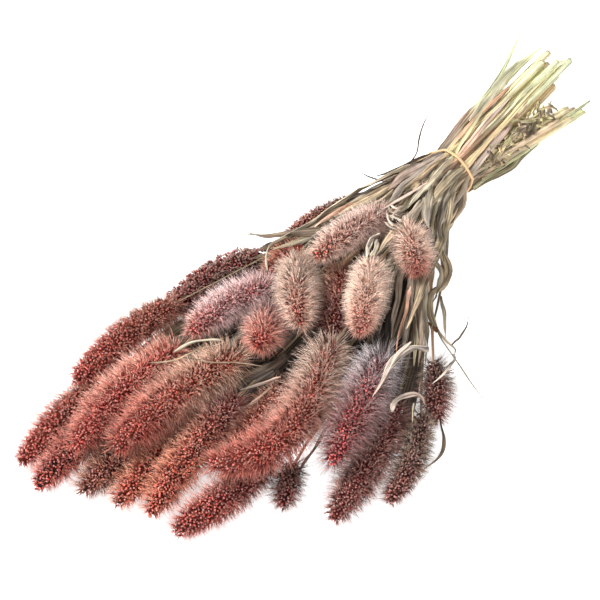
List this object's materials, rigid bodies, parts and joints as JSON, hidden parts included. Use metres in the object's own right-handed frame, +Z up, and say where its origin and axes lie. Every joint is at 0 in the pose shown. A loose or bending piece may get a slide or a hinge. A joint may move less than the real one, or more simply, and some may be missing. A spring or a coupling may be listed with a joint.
{
  "type": "dried foxtail millet bunch",
  "caption": "Bunch of dried, red-dyed foxtail millet: bristly seed heads on straw stems with dry leaves, tied with a rubber band and lying flat as decoration.",
  "frame": {"origin": "on the table under the middle of the bunch's bounding box", "axes": "+X along the bunch, from the heads to the cut ends of the stems; +Y to the left of that, seen from above; +Z up from the table"},
  "size_m": [0.5152, 0.2114, 0.0596],
  "materials": {
    "head": "dry red-dyed grains under pale bristles",
    "stem": "dry straw, pale green at the cut ends",
    "leaf": "dry curled leaf, matt",
    "rubber_band": "natural tan rubber, slightly glossy"
  },
  "bodies": {
    "root": {"head_01": "head", "head_02": "head", "head_03": "head", "head_04": "head", "head_05": "head", "head_06": "head", "head_07": "head", "head_08": "head", "head_09": "head", "head_10": "head", "head_11": "head", "head_12": "head", "head_13": "head", "head_14": "head", "head_15": "head", "head_16": "head", "head_17": "head", "head_18": "head", "head_19": "head", "head_20": "head", "head_21": "head", "head_22": "head", "head_23": "head", "head_24": "head", "head_25": "head", "head_26": "head", "stem_01": "stem", "stem_02": "stem", "stem_03": "stem", "stem_04": "stem", "stem_05": "stem", "stem_06": "stem", "stem_07": "stem", "stem_08": "stem", "stem_09": "stem", "stem_10": "stem", "stem_11": "stem", "stem_12": "stem", "stem_13": "stem", "stem_14": "stem", "stem_15": "stem", "stem_16": "stem", "stem_17": "stem", "stem_18": "stem", "stem_19": "stem", "stem_20": "stem", "stem_21": "stem", "stem_22": "stem", "stem_23": "stem", "stem_24": "stem", "stem_25": "stem", "stem_26": "stem", "leaf_01": "leaf", "leaf_02": "leaf", "leaf_03": "leaf", "leaf_04": "leaf", "leaf_05": "leaf", "leaf_06": "leaf", "leaf_07": "leaf", "rubber_band": "rubber_band"}
  },
  "joints": []
}
